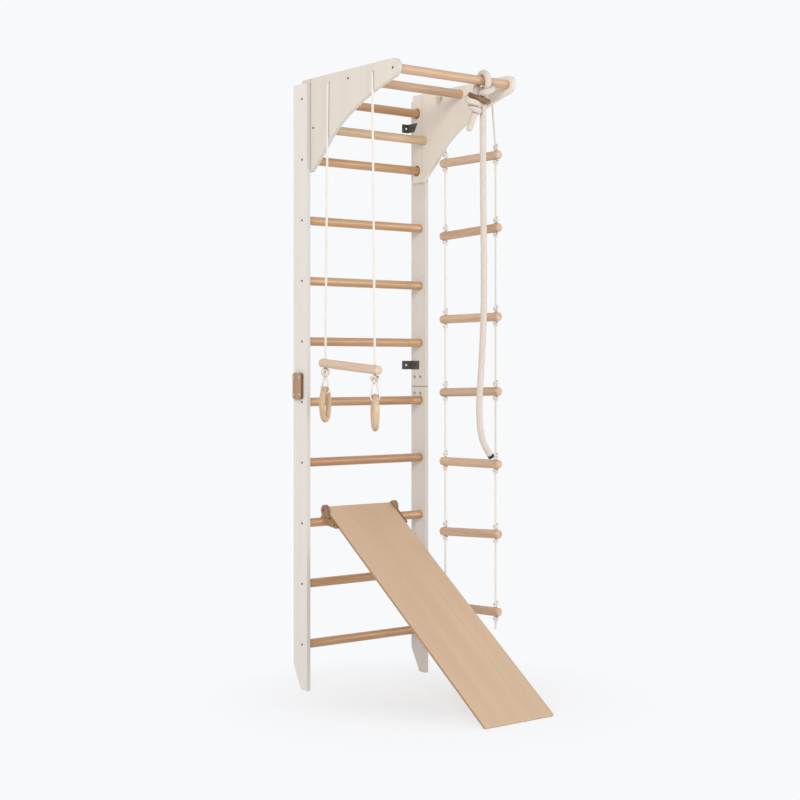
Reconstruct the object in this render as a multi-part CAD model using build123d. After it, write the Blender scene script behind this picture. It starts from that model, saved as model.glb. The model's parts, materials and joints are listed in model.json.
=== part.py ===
from build123d import *
import math
import os

# Wall-bar gym set: two uprights with ten rungs, a pair of gussets that carry two
# pull-up bars, a trapeze with rings, a rope ladder, a climbing rope and a slide board.
# Millimetres. X runs along the rungs, +Y points at the wall, +Z is up.
# Heights below are measured from the floor. The model is moved at the end so that its
# origin is the middle of the four wall-bracket holes, in the plane of the wall.

# ---- frame -------------------------------------------------------------------------
OVERALL_WIDTH = 620.0
UPRIGHT_HEIGHT = 2400.0
UPRIGHT_DEPTH = 93.0
UPRIGHT_THICK = 18.0
EDGE_ROUND = 2.0
SPLIT_RUNG = 5
SPLIT_RISE = 57.5
SPLIT_EASE = 1.6
FOOT_CUT_HEIGHT = 98.0
FOOT_CUT_DEPTH = 55.0

TOP_MARGIN = 50.0
RUNG_PITCH = 240.0
RUNG_DIA = 35.0
FIRST_RUNG_HEIGHT = 180.0
RUNG_FROM_WALL = 59.0
RUNG_HOLE_GAP = 4.5

# ---- gussets and their bars ----------------------------------------------------------
GUSSET_THICK = 18.0
GUSSET_REAR = 30.0
GUSSET_RISE = 18.0
GUSSET_REACH = 655.0
GUSSET_NOSE_R = 35.0
GUSSET_CORNER_R = 12.0
GUSSET_DROP = 350.0
GUSSET_TOE = 88.0
GUSSET_TOE_SLOPE = 0.12
GUSSET_UNDER_LEAN = 14.0
# shape of the swept lower edge: shares of its run from the nose and of its rise
GUSSET_SWEEP = [(0.167, 0.915), (0.479, 0.70), (0.705, 0.455), (0.88, 0.16), (0.955, 0.045)]
BAR_DROP = 35.0
FRONT_BAR_FROM_WALL = 620.0
REAR_BAR_FROM_WALL = 342.0
LOW_BAR_FROM_WALL = 110.0
LOW_BAR_DROP = 179.0

# ---- fasteners -------------------------------------------------------------------------
BOLT_SHANK_DIA = 7.0
BOLT_LENGTH = 52.0
BOLT_HEAD_DIA = 10.0
BOLT_HEAD_THICK = 3.6
BOLT_SINK = 1.0
HEX_KEY = 4.0
HEX_DEPTH = 2.4
HOLE_GAP = 0.3
# shares: rounding of a screw head's rim, of a hanging bar's ends, and a shallow key
HEAD_ROUND = 0.6
BAR_END_ROUND = 0.45
SHALLOW_KEY = 0.7

# ---- splice plates ----------------------------------------------------------------------
PLATE_WIDTH = 60.0
PLATE_HEIGHT = 104.0
PLATE_THICK = 15.0
PLATE_CORNER_R = 12.0
PLATE_WAIST = 2.0
PLATE_FROM_WALL = 42.0
PLATE_RISE = 6.0
PLATE_BOLT_Y = 39.0
PLATE_BOLT_Z = 68.0
PLATE_BOLT_DIA = 6.0
PLATE_HEAD_DIA = 11.0
PLATE_HEAD_THICK = 2.6
SLEEVE_DIA = 8.4
SLEEVE_LENGTH = 12.0
SLEEVE_HEAD_DIA = 13.0
SLEEVE_HEAD_THICK = 1.4

# ---- wall brackets --------------------------------------------------------------------
BRACKET_HEIGHT = 36.0
BRACKET_THICK = 2.0
WALL_HOLE_X = 264.0
WALL_HOLE_R = 4.5
WALL_HOLE_EDGE = 22.0
UPPER_BRACKET_DROP = 57.0
LOWER_BRACKET_RISE = 89.5
SIDE_LEG = 53.5
SIDE_LEG_SLANT = 21.0
LOWER_SCREW_FROM_WALL = 31.0
UPPER_SCREW_FROM_WALL = 41.0
SCREW_DIA = 4.0
SCREW_HEAD_DIA = 8.0
SCREW_HEAD_THICK = 2.2
LOWER_SCREW_LENGTH = 14.0
UPPER_SCREW_LENGTH = 30.0

# ---- ropes ---------------------------------------------------------------------------
ROPE_DIA = 9.0
ROPE_HOLE_DIA = 10.4
TIE_REAR = 217.0
TIE_FRONT = 502.0
KNOT_R = 11.0
SOFT_GAP = 0.3

# ---- trapeze and rings -----------------------------------------------------------------
TRAPEZE_LENGTH = 375.0
TRAPEZE_DIA = 34.0
TRAPEZE_ROPE_SPAN = 320.0
TRAPEZE_DROP = 1102.0
TRAPEZE_TILT = 4.4
TRAPEZE_KNOT_R = 18.0
RING_DIA = 142.0
RING_BAR_DIA = 22.0
RING_DROP = 38.0
LOOP_PIVOT_R = 8.0
RING_TURNS = {"ring_rear": 48.0, "ring_front": 31.5}

# ---- rope ladder ------------------------------------------------------------------------
LADDER_RUNG_LENGTH = 357.0
LADDER_RUNG_DIA = 35.0
LADDER_ROPE_SPAN = 311.0
# depth of each ladder rung below the overhead bars, and its tilt in degrees
LADDER_DROPS = [262.0, 557.0, 906.0, 1205.0, 1492.0, 1776.0, 2084.0]
LADDER_TILTS = [0.0, 2.2, 0.5, 1.5, 0.6, 2.8, 2.4]
LADDER_TAIL = 34.0

# ---- climbing rope --------------------------------------------------------------------
CLIMB_DIA = 25.0
CLIMB_X = 150.0
NOOSE_SHIFT = 4.0
CLIMB_DROP = 97.0
WRAP_SIZE = 61.0
WRAP_DROP = 43.0
TAIL_DIA = 24.0
# each stretch of the hitch left of the rope: offset along X and depth below the bar's axis
HITCH_STRETCHES = [
    [(-10.0, 92.0), (-88.0, 82.0)],
    [(-88.0, 82.0), (-70.0, 112.0)],
    [(-70.0, 112.0), (-28.0, 118.0)],
    [(-62.0, 114.0), (-88.0, 196.0)],
]
# offset along X and depth below the knot of each point of the hanging rope
CLIMB_ROUTE = [
    (0.0, 0.0),
    (0.0, 246.0),
    (5.0, 556.0),
    (5.5, 806.0),
    (-7.0, 996.0),
    (-19.0, 1126.0),
    (-18.0, 1211.0),
    (-9.0, 1272.0),
    (10.0, 1316.0),
    (40.0, 1351.0),
]
CAP_LENGTH = 7.0
CAP_DIA = 26.0
TOGGLE_DIA = 22.0
TOGGLE_LENGTH = 110.0
TOGGLE_TILT = 12.0
TOGGLE_DROP = 73.0
TOGGLE_LEFT = 32.0
TOGGLE_FRONT = 14.0

# ---- slide board ------------------------------------------------------------------------
SLIDE_RUNG = 3
BOARD_WIDTH = 336.0
BOARD_LENGTH = 1208.0
BOARD_THICK = 10.0
BOARD_REACH_LEFT = 187.0
BOARD_RISE = 36.0
BOARD_OVERRUN = 50.0
BOARD_CORNER_R = 6.0
HOOK_THICK = 12.0
HOOK_NOTCH_GAP = 0.5
LOBE_R = 23.5
LOBE_ALONG = -28.0
LOBE_UP = 33.0
HOOK_BACK = 32.0
HOOK_FRONT = 26.0
HOOK_LIP = 12.0
HOOK_END = 75.0
HOOK_ROUND = 4.0
HOOK_SCREW_DIA = 4.0
HOOK_SCREW_LENGTH = 36.0
HOOK_SCREW_ALONG = (-34.0, 18.0, 58.0)

# ---- worked out from the above -----------------------------------------------------------
RUNG_COUNT = 1 + int((UPRIGHT_HEIGHT - FIRST_RUNG_HEIGHT - TOP_MARGIN) / RUNG_PITCH)
SPLIT_HEIGHT = FIRST_RUNG_HEIGHT + (SPLIT_RUNG - 1) * RUNG_PITCH + SPLIT_RISE
PLATE_MID_HEIGHT = SPLIT_HEIGHT + PLATE_RISE
OUTER_X = OVERALL_WIDTH / 2
INNER_X = OUTER_X - UPRIGHT_THICK
GUSSET_INNER_X = INNER_X - GUSSET_THICK
RUNG_R = RUNG_DIA / 2
ROPE_R = ROPE_DIA / 2
GUSSET_TOP = UPRIGHT_HEIGHT + GUSSET_RISE
GUSSET_BOTTOM = UPRIGHT_HEIGHT - GUSSET_DROP
BAR_HEIGHT = GUSSET_TOP - BAR_DROP
LOW_BAR_HEIGHT = UPRIGHT_HEIGHT - LOW_BAR_DROP
TOP_RUNG_HEIGHT = FIRST_RUNG_HEIGHT + (RUNG_COUNT - 1) * RUNG_PITCH
UPPER_BRACKET_HEIGHT = TOP_RUNG_HEIGHT - UPPER_BRACKET_DROP
LOWER_BRACKET_HEIGHT = SPLIT_HEIGHT + LOWER_BRACKET_RISE
TIE_X = INNER_X + SOFT_GAP + ROPE_R
ORIGIN_HEIGHT = (UPPER_BRACKET_HEIGHT + LOWER_BRACKET_HEIGHT) / 2
SIDES = {"left": -1, "right": 1}

os.makedirs("parts", exist_ok=True)


def save(name, shape):
    """Write one node, moved so that the origin is the middle of the wall holes."""
    solids = shape if isinstance(shape, list) else [shape]
    moved = [Pos(0, 0, -ORIGIN_HEIGHT) * s for s in solids]
    whole = moved[0] if len(moved) == 1 else Compound(children=moved)
    export_step(whole, f"parts/{name}.step")


def block(x, y, z):
    """A box between pairs of limits."""
    size = Box(abs(x[1] - x[0]), abs(y[1] - y[0]), abs(z[1] - z[0]))
    return Pos((x[0] + x[1]) / 2, (y[0] + y[1]) / 2, (z[0] + z[1]) / 2) * size


def rod_x(radius, x, y, z):
    """A round bar along X between two X limits."""
    rod = Rot(0, 90, 0) * Cylinder(radius, abs(x[1] - x[0]))
    return Pos((x[0] + x[1]) / 2, y, z) * rod


def rod_between(start, end, radius):
    """A round bar from one point to another."""
    a = Vector(*start)
    b = Vector(*end)
    plane = Plane(origin=a, z_dir=b - a)
    return extrude(plane * Circle(radius), amount=(b - a).length)


def side_solid(outline, x0, x1):
    """Extrude a sketch drawn in (Y, Z) from x0 to x1."""
    placed = Plane(origin=(x0, 0, 0), x_dir=(0, 1, 0), z_dir=(1, 0, 0)) * outline
    return extrude(placed, amount=x1 - x0)


def rung_height(number):
    """Height of a rung's axis; number 1 is the lowest."""
    return FIRST_RUNG_HEIGHT + (number - 1) * RUNG_PITCH


RUNG_Y = -RUNG_FROM_WALL
BAR_PLACES = {
    "pull_up_bar_front": (-FRONT_BAR_FROM_WALL, BAR_HEIGHT),
    "pull_up_bar_rear": (-REAR_BAR_FROM_WALL, BAR_HEIGHT),
    "gusset_bar": (-LOW_BAR_FROM_WALL, LOW_BAR_HEIGHT),
}


# ---- bolts that hold rungs and bars ----------------------------------------------------
def end_bolt(face_x, side, y, z):
    """A bolt whose head is sunk in the outer face at face_x."""
    seat = face_x - side * BOLT_SINK
    under = seat - side * BOLT_HEAD_THICK
    tip = seat - side * BOLT_LENGTH
    head = rod_x(BOLT_HEAD_DIA / 2, (seat, under), y, z)
    shank = rod_x(BOLT_SHANK_DIA / 2, (under, tip), y, z)
    hexagon = RegularPolygon(HEX_KEY / 2, 6, major_radius=False)
    hex_face = Plane(origin=(seat, y, z), z_dir=(-side, 0, 0)) * hexagon
    return head + shank - extrude(hex_face, amount=HEX_DEPTH)


def end_bolt_hole(face_x, side, y, z):
    """The stepped hole that such a bolt sits in."""
    under = face_x - side * (BOLT_SINK + BOLT_HEAD_THICK)
    tip = face_x - side * (BOLT_SINK + BOLT_LENGTH + HOLE_GAP)
    wide = rod_x(BOLT_HEAD_DIA / 2 + HOLE_GAP, (face_x + side, under), y, z)
    return wide + rod_x(BOLT_SHANK_DIA / 2 + HOLE_GAP, (face_x, tip), y, z)


# ---- uprights ------------------------------------------------------------------------
def plate_bolt_places():
    """(Y, Z) of the four bolts in a splice plate."""
    middle = -PLATE_FROM_WALL
    return [
        (middle + dy * PLATE_BOLT_Y / 2, PLATE_MID_HEIGHT + dz * PLATE_BOLT_Z / 2)
        for dy in (-1, 1)
        for dz in (-1, 1)
    ]


def upright(side, low, high):
    """One half of an upright, with every hole that falls in it."""
    inner = side * INNER_X
    outer = side * OUTER_X
    body = block((inner, outer), (-UPRIGHT_DEPTH, 0), (low, high))
    body = fillet(body.edges().filter_by(Axis.Z), EDGE_ROUND)
    split_end = body.faces().sort_by(Axis.Z)[-1 if low == 0 else 0]
    body = chamfer(split_end.edges(), SPLIT_EASE)
    if low == 0:
        corner = Polyline((1, -1), (1, FOOT_CUT_HEIGHT), (0, FOOT_CUT_HEIGHT),
                          (-FOOT_CUT_DEPTH, 0), (-FOOT_CUT_DEPTH, -1), (1, -1))
        cut = side_solid(make_face(corner), -OUTER_X - 1, OUTER_X + 1)
        body = body - cut
    for number in range(1, RUNG_COUNT + 1):
        height = rung_height(number)
        if low < height < high:
            body = body - end_bolt_hole(outer, side, RUNG_Y, height)
    for y, z in plate_bolt_places():
        if low < z < high:
            body = body - rod_x(PLATE_BOLT_DIA / 2 + HOLE_GAP, (inner, outer), y, z)
            seat = inner + side * (SLEEVE_LENGTH + HOLE_GAP)
            body = body - rod_x(SLEEVE_DIA / 2 + HOLE_GAP, (inner, seat), y, z)
    for y, z, plate_x, length in bracket_screw_places(side):
        if low < z < high:
            tip = plate_x + side * (length + HOLE_GAP)
            body = body - rod_x(SCREW_DIA / 2 + HOLE_GAP, (inner - side, tip), y, z)
    return body


def bracket_screw_places(side):
    """(Y, Z, face X, length) of the screw through each bracket's side leg."""
    low_x = side * INNER_X
    high_x = side * GUSSET_INNER_X
    return [
        (-LOWER_SCREW_FROM_WALL, LOWER_BRACKET_HEIGHT, low_x, LOWER_SCREW_LENGTH),
        (-UPPER_SCREW_FROM_WALL, UPPER_BRACKET_HEIGHT, high_x, UPPER_SCREW_LENGTH),
    ]


# ---- rungs and bars ---------------------------------------------------------------------
def cross_bar(half_length, face_x, y, z):
    """A rung or bar with a pilot hole for the bolt at each end."""
    bar = rod_x(RUNG_R, (-half_length, half_length), y, z)
    for side in SIDES.values():
        bar = bar - end_bolt_hole(side * face_x, side, y, z)
    return bar


# ---- gussets ----------------------------------------------------------------------------
def gusset(side):
    """The swept bracket inside an upright, with holes for rungs, bars and ropes."""
    nose_y = -(GUSSET_REACH - GUSSET_NOSE_R)
    nose_z = GUSSET_TOP - GUSSET_NOSE_R
    lean = math.radians(GUSSET_UNDER_LEAN)
    under = (nose_y - GUSSET_NOSE_R * math.sin(lean), nose_z - GUSSET_NOSE_R * math.cos(lean))
    rise = nose_z - GUSSET_NOSE_R - GUSSET_BOTTOM
    run = -GUSSET_TOE - nose_y
    through = [(nose_y + a * run, GUSSET_BOTTOM + b * rise) for a, b in GUSSET_SWEEP]
    toe = (-GUSSET_TOE, GUSSET_BOTTOM)
    rear = -GUSSET_REAR
    round_r = GUSSET_CORNER_R
    top = Line((rear - round_r, GUSSET_TOP), (nose_y, GUSSET_TOP))
    nose = ThreePointArc((nose_y, GUSSET_TOP), (nose_y - GUSSET_NOSE_R, nose_z), under)
    slope = (math.cos(lean), -math.sin(lean))
    sweep = Spline(under, *through, toe, tangents=[slope, (1, -GUSSET_TOE_SLOPE)])
    base = Line(toe, (rear - round_r, GUSSET_BOTTOM))
    low_round = RadiusArc((rear - round_r, GUSSET_BOTTOM), (rear, GUSSET_BOTTOM + round_r), -round_r)
    back = Line((rear, GUSSET_BOTTOM + round_r), (rear, GUSSET_TOP - round_r))
    high_round = RadiusArc((rear, GUSSET_TOP - round_r), (rear - round_r, GUSSET_TOP), -round_r)
    outline = make_face([top, nose, sweep, base, low_round, back, high_round])
    x_low = min(side * INNER_X, side * GUSSET_INNER_X)
    body = side_solid(outline, x_low, x_low + GUSSET_THICK)
    body = fillet(body.faces().filter_by(Axis.X).edges(), EDGE_ROUND)
    span = (side * (INNER_X + 1), side * (GUSSET_INNER_X - 1))
    for number in range(1, RUNG_COUNT + 1):
        height = rung_height(number)
        if GUSSET_BOTTOM < height < GUSSET_TOP:
            body = body - rod_x(RUNG_R + RUNG_HOLE_GAP, span, RUNG_Y, height)
    for y, z in BAR_PLACES.values():
        body = body - end_bolt_hole(side * INNER_X, side, y, z)
    for y in (-TIE_REAR, -TIE_FRONT):
        body = body - rod_x(ROPE_HOLE_DIA / 2, span, y, BAR_HEIGHT)
    y, z = bracket_screw_places(side)[1][:2]
    return body - rod_x(SCREW_DIA / 2 + HOLE_GAP, span, y, z)


# ---- splice plates -----------------------------------------------------------------------
def splice_plate(side):
    """The plate that joins the two halves of an upright on its outer face."""
    half_w = PLATE_WIDTH / 2
    half_h = PLATE_HEIGHT / 2
    waist = half_w - PLATE_WAIST
    right = ThreePointArc((half_w, -half_h), (waist, 0), (half_w, half_h))
    left = ThreePointArc((-half_w, half_h), (-waist, 0), (-half_w, -half_h))
    top = Line((half_w, half_h), (-half_w, half_h))
    base = Line((-half_w, -half_h), (half_w, -half_h))
    face = make_face([right, top, left, base])
    face = fillet(face.vertices(), PLATE_CORNER_R)
    face = Pos(-PLATE_FROM_WALL, PLATE_MID_HEIGHT) * face
    outer = side * (OUTER_X + PLATE_THICK)
    low_x = min(side * OUTER_X, outer)
    body = side_solid(face, low_x, low_x + PLATE_THICK)
    shown = body.faces().sort_by(Axis.X)[0 if side < 0 else -1]
    body = fillet(shown.edges(), EDGE_ROUND)
    for y, z in plate_bolt_places():
        body = body - rod_x(PLATE_BOLT_DIA / 2 + HOLE_GAP, (side * OUTER_X, outer), y, z)
    return body


def splice_bolt(side, y, z):
    """A low dome head on the plate and a shank into the sleeve nut."""
    seat = side * (OUTER_X + PLATE_THICK)
    top = seat + side * PLATE_HEAD_THICK
    head = rod_x(PLATE_HEAD_DIA / 2, (seat, top), y, z)
    rim = head.faces().sort_by(Axis.X)[0 if side < 0 else -1].edges()
    head = fillet(rim, PLATE_HEAD_THICK * HEAD_ROUND)
    hexagon = RegularPolygon(HEX_KEY / 2, 6, major_radius=False)
    key = Plane(origin=(top, y, z), z_dir=(-side, 0, 0)) * hexagon
    tip = side * (INNER_X + HOLE_GAP)
    shank = rod_x(PLATE_BOLT_DIA / 2, (seat, tip), y, z)
    return head + shank - extrude(key, amount=HEX_DEPTH * SHALLOW_KEY)


def sleeve_nut(side, y, z):
    """A flanged sleeve pressed in the upright from its inner face."""
    inner = side * INNER_X
    deep = inner + side * SLEEVE_LENGTH
    flange = rod_x(SLEEVE_HEAD_DIA / 2, (inner, inner - side * SLEEVE_HEAD_THICK), y, z)
    sleeve = rod_x(SLEEVE_DIA / 2, (inner, deep), y, z)
    bore = rod_x(PLATE_BOLT_DIA / 2 + HOLE_GAP, (inner, deep + side), y, z)
    return flange + sleeve - bore


# ---- wall brackets -----------------------------------------------------------------------
def wall_bracket(side, bend_x, height, slant):
    """An L of sheet steel: one leg on the wall, one on the side of the frame."""
    half = BRACKET_HEIGHT / 2
    z = (height - half, height + half)
    end_x = side * (WALL_HOLE_X - WALL_HOLE_EDGE)
    wall_leg = block((side * bend_x, end_x), (-BRACKET_THICK, 0), z)
    plate = (side * bend_x, side * (bend_x - BRACKET_THICK))
    points = [(0, z[0]), (0, z[1]), (-SIDE_LEG - slant / 2, z[1]), (-SIDE_LEG + slant / 2, z[0])]
    leg_face = make_face(Polyline(*points, points[0]))
    side_leg = side_solid(leg_face, min(plate), max(plate))
    body = wall_leg + side_leg
    hole = Rot(90, 0, 0) * Cylinder(WALL_HOLE_R, 4 * BRACKET_THICK)
    return body - Pos(side * WALL_HOLE_X, 0, height) * hole


def bracket_screw(side, y, z, face_x, length):
    """A domed screw through the side leg of a bracket."""
    seat = face_x - side * BRACKET_THICK
    top = seat - side * SCREW_HEAD_THICK
    head = rod_x(SCREW_HEAD_DIA / 2, (seat, top), y, z)
    rim = head.faces().sort_by(Axis.X)[-1 if side < 0 else 0].edges()
    head = fillet(rim, SCREW_HEAD_THICK * HEAD_ROUND)
    return head + rod_x(SCREW_DIA / 2, (seat, face_x + side * length), y, z)


# ---- frame: build and save ----------------------------------------------------------------
for name, side in SIDES.items():
    save(f"{name}_upright_lower", upright(side, 0, SPLIT_HEIGHT))
    save(f"{name}_upright_upper", upright(side, SPLIT_HEIGHT, UPRIGHT_HEIGHT))
    save(f"{name}_gusset", gusset(side))
    save(f"{name}_splice_plate", splice_plate(side))
    for level, bend_x, slant in (("lower", INNER_X, 0), ("upper", GUSSET_INNER_X, SIDE_LEG_SLANT)):
        height = LOWER_BRACKET_HEIGHT if level == "lower" else UPPER_BRACKET_HEIGHT
        bracket = wall_bracket(side, bend_x, height, slant)
        y, z = bracket_screw_places(side)[0 if level == "lower" else 1][:2]
        bracket = bracket - rod_x(SCREW_DIA / 2 + HOLE_GAP, (0, side * OUTER_X), y, z)
        save(f"{name}_{level}_bracket", bracket)

for number in range(1, RUNG_COUNT + 1):
    save(f"rung_{number:02d}", cross_bar(INNER_X, OUTER_X, RUNG_Y, rung_height(number)))
for name, (y, z) in BAR_PLACES.items():
    save(name, cross_bar(GUSSET_INNER_X, INNER_X, y, z))

save("rung_bolts", [
    end_bolt(side * OUTER_X, side, RUNG_Y, rung_height(number))
    for side in SIDES.values()
    for number in range(1, RUNG_COUNT + 1)
])
save("bar_bolts", [
    end_bolt(side * INNER_X, side, y, z)
    for side in SIDES.values()
    for y, z in BAR_PLACES.values()
])
save("splice_bolts", [
    splice_bolt(side, y, z) for side in SIDES.values() for y, z in plate_bolt_places()
])
save("splice_nuts", [
    sleeve_nut(side, y, z) for side in SIDES.values() for y, z in plate_bolt_places()
])
save("bracket_screws", [
    bracket_screw(side, *place)
    for side in SIDES.values()
    for place in bracket_screw_places(side)
])


# ---- rope ends tied inside the gussets ------------------------------------------------------
def tie(side, y):
    """A knot on the gusset's inner face and the rope that fills its hole."""
    knot_x = side * (GUSSET_INNER_X - SOFT_GAP - KNOT_R)
    knot = Pos(knot_x, y, BAR_HEIGHT) * Rot(0, 90, 0) * Sphere(KNOT_R)
    return knot + rod_x(ROPE_R, (knot_x, side * INNER_X), y, BAR_HEIGHT)


save("rope_ties", [
    tie(side, y) for side in SIDES.values() for y in (-TIE_REAR, -TIE_FRONT)
])


# ---- trapeze --------------------------------------------------------------------------------
TRAPEZE_Y = -(TIE_REAR + TIE_FRONT) / 2
TRAPEZE_TURN = math.radians(TRAPEZE_TILT)
TRAPEZE_HEIGHT = BAR_HEIGHT - TRAPEZE_DROP


def trapeze_point(along):
    """A point of the bar's axis; along is positive toward the wall."""
    y = TRAPEZE_Y + along * math.cos(TRAPEZE_TURN)
    z = TRAPEZE_HEIGHT + along * math.sin(TRAPEZE_TURN)
    return (-TIE_X, y, z)


def round_bar(start, end, radius):
    """A bar with well rounded ends."""
    bar = rod_between(start, end, radius)
    rims = bar.edges().filter_by(GeomType.CIRCLE)
    return fillet(rims, radius * BAR_END_ROUND)


trapeze_ties = {"ring_rear": -TIE_REAR, "ring_front": -TIE_FRONT}
trapeze_sides = {"ring_rear": 1, "ring_front": -1}
bar = round_bar(trapeze_point(-TRAPEZE_LENGTH / 2), trapeze_point(TRAPEZE_LENGTH / 2), TRAPEZE_DIA / 2)
ropes = []
knots = []
for name, way in trapeze_sides.items():
    seat = trapeze_point(way * TRAPEZE_ROPE_SPAN / 2)
    pivot = (-TIE_X, trapeze_ties[name], BAR_HEIGHT)
    below = seat[2] - TRAPEZE_DIA / 2 - SOFT_GAP
    knot_z = below - TRAPEZE_KNOT_R
    knot_at = (seat[0], seat[1], knot_z)
    end = (seat[0], seat[1], seat[2])
    bar = bar - rod_between(pivot, end, ROPE_HOLE_DIA / 2)
    bar = bar - rod_between(end, knot_at, ROPE_HOLE_DIA / 2)
    bar = bar - Pos(*end) * Sphere(ROPE_HOLE_DIA / 2)
    rope = rod_between(pivot, end, ROPE_R) + Pos(*pivot) * Sphere(ROPE_R) + Pos(*end) * Sphere(ROPE_R)
    ropes.append(rope)
    neck = rod_between((end[0], end[1], end[2] - ROPE_R - SOFT_GAP), knot_at, ROPE_R)
    knots.append(Pos(*knot_at) * Sphere(TRAPEZE_KNOT_R) + neck)

    # the ring below: a short rope loop from under the knot, round the ring's top
    loop_pivot = knot_z - TRAPEZE_KNOT_R - SOFT_GAP - LOOP_PIVOT_R
    ring_r = (RING_DIA - RING_BAR_DIA) / 2
    ring_top = loop_pivot - RING_DROP
    ring_centre = (seat[0], seat[1], ring_top - ring_r)
    turn = RING_TURNS[name]
    ring = Rot(0, 90, 0) * Torus(ring_r, RING_BAR_DIA / 2)
    save(name, Pos(*ring_centre) * Rot(0, 0, -turn) * ring)
    loop_r = RING_BAR_DIA / 2 + SOFT_GAP + ROPE_R
    lift = math.asin(loop_r / RING_DROP)
    touch = (loop_r * math.cos(lift), 0, loop_r * math.sin(lift))
    bend = ThreePointArc((-touch[0], 0, touch[2]), (0, 0, -loop_r), touch)
    loop = sweep(Plane(origin=bend @ 0, z_dir=bend % 0) * Circle(ROPE_R), path=bend)
    loop = loop + Pos(0, 0, RING_DROP) * Sphere(LOOP_PIVOT_R)
    for strand in (-1, 1):
        loop = loop + rod_between((strand * touch[0], 0, touch[2]), (0, 0, RING_DROP), ROPE_R)
    save(f"{name}_loop", Pos(seat[0], seat[1], ring_top) * Rot(0, 0, -turn) * loop)
    print(f"{name}: pivot z {loop_pivot - ORIGIN_HEIGHT:.3f} y {seat[1]:.3f}")
save("trapeze_bar", bar)
save("trapeze_ropes", ropes)
save("trapeze_knots", knots)
print(f"trapeze pivot x {-TIE_X:.3f} z {BAR_HEIGHT - ORIGIN_HEIGHT:.3f}")

# ---- rope ladder ------------------------------------------------------------------------------
LADDER_Y = -(TIE_REAR + TIE_FRONT) / 2
LADDER_R = LADDER_RUNG_DIA / 2
LADDER_X = INNER_X + SOFT_GAP + LADDER_R
LADDER_HALF = LADDER_RUNG_LENGTH / 2
tops = {1: (TIE_X, -TIE_REAR, BAR_HEIGHT), -1: (TIE_X, -TIE_FRONT, BAR_HEIGHT)}
for index, (drop, tilt) in enumerate(zip(LADDER_DROPS, LADDER_TILTS), start=1):
    last = index == len(LADDER_DROPS)
    height = BAR_HEIGHT - drop
    lean = math.radians(-tilt)
    print(f"ladder pivot {index}: x {tops[1][0]:.3f} z {tops[1][2] - ORIGIN_HEIGHT:.3f}")
    knot_gap = LADDER_R / math.cos(lean) + SOFT_GAP + KNOT_R
    seats = {
        way: (LADDER_X, LADDER_Y + way * LADDER_ROPE_SPAN / 2,
              height + way * math.tan(lean) * LADDER_ROPE_SPAN / 2)
        for way in (1, -1)
    }
    # the next hinge lies just under the lower of the two knots
    lowest_knot = min(seat[2] for seat in seats.values()) - knot_gap - KNOT_R
    pivot = lowest_knot - SOFT_GAP - ROPE_R
    reach = (math.cos(lean) * LADDER_HALF, math.sin(lean) * LADDER_HALF)
    start = (LADDER_X, LADDER_Y - reach[0], height - reach[1])
    finish = (LADDER_X, LADDER_Y + reach[0], height + reach[1])
    rung = round_bar(start, finish, LADDER_R)
    strands = []
    for way, (x, y, z) in seats.items():
        upper = (x, y, z + knot_gap)
        lower = (x, y, z - knot_gap)
        end = (x, y, lowest_knot - LADDER_TAIL) if last else (x, y, lowest_knot)
        strand = Pos(*tops[way]) * Sphere(ROPE_R) + rod_between(tops[way], upper, ROPE_R)
        strand = strand + Pos(*upper) * Sphere(KNOT_R) + Pos(*lower) * Sphere(KNOT_R)
        strand = strand + rod_between(upper, end, ROPE_R)
        strands.append(strand)
        rung = rung - rod_between(upper, lower, ROPE_HOLE_DIA / 2)
        tops[way] = (x, y, pivot)
    save(f"ladder_rung_{index}", rung)
    save(f"ladder_ropes_{index}", strands)

# ---- climbing rope ------------------------------------------------------------------------------
CLIMB_R = CLIMB_DIA / 2
CLIMB_Y = -FRONT_BAR_FROM_WALL
CLIMB_TOP = BAR_HEIGHT - CLIMB_DROP
turn_r = RUNG_R + SOFT_GAP + CLIMB_R
noose_at = Pos(CLIMB_X + NOOSE_SHIFT, CLIMB_Y, BAR_HEIGHT)
knot = noose_at * Rot(0, 90, 0) * Torus(turn_r, CLIMB_R)
knot = knot + Pos(CLIMB_X, CLIMB_Y, BAR_HEIGHT - WRAP_DROP - CLIMB_R) * Torus(
    (WRAP_SIZE - CLIMB_DIA) / 2, CLIMB_R)
knot = knot + rod_between((CLIMB_X, CLIMB_Y, BAR_HEIGHT - turn_r), (CLIMB_X, CLIMB_Y, CLIMB_TOP), CLIMB_R)
for stretch in HITCH_STRETCHES:
    start, finish = [(CLIMB_X + dx, CLIMB_Y, BAR_HEIGHT - drop) for dx, drop in stretch]
    knot = knot + rod_between(start, finish, TAIL_DIA / 2)
    knot = knot + Pos(*start) * Sphere(TAIL_DIA / 2) + Pos(*finish) * Sphere(TAIL_DIA / 2)
toggle_turn = math.radians(TOGGLE_TILT)
toggle_mid = (CLIMB_X - TOGGLE_LEFT, CLIMB_Y - TOGGLE_FRONT, BAR_HEIGHT - TOGGLE_DROP)
toggle_half = (math.cos(toggle_turn) * TOGGLE_LENGTH / 2, math.sin(toggle_turn) * TOGGLE_LENGTH / 2)
toggle_ends = [
    (toggle_mid[0] + way * toggle_half[0], toggle_mid[1], toggle_mid[2] - way * toggle_half[1])
    for way in (-1, 1)
]
knot = knot - rod_between(toggle_ends[0], toggle_ends[1], TOGGLE_DIA / 2 + SOFT_GAP)
below_knot = Pos(CLIMB_X, CLIMB_Y, CLIMB_TOP - CLIMB_DIA) * Box(
    CLIMB_DIA + 2 * SOFT_GAP, 2 * CLIMB_DIA, 2 * CLIMB_DIA)
knot = knot - below_knot
save("climbing_rope_knot", knot)
save("toggle_peg", round_bar(toggle_ends[0], toggle_ends[1], TOGGLE_DIA / 2))


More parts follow.
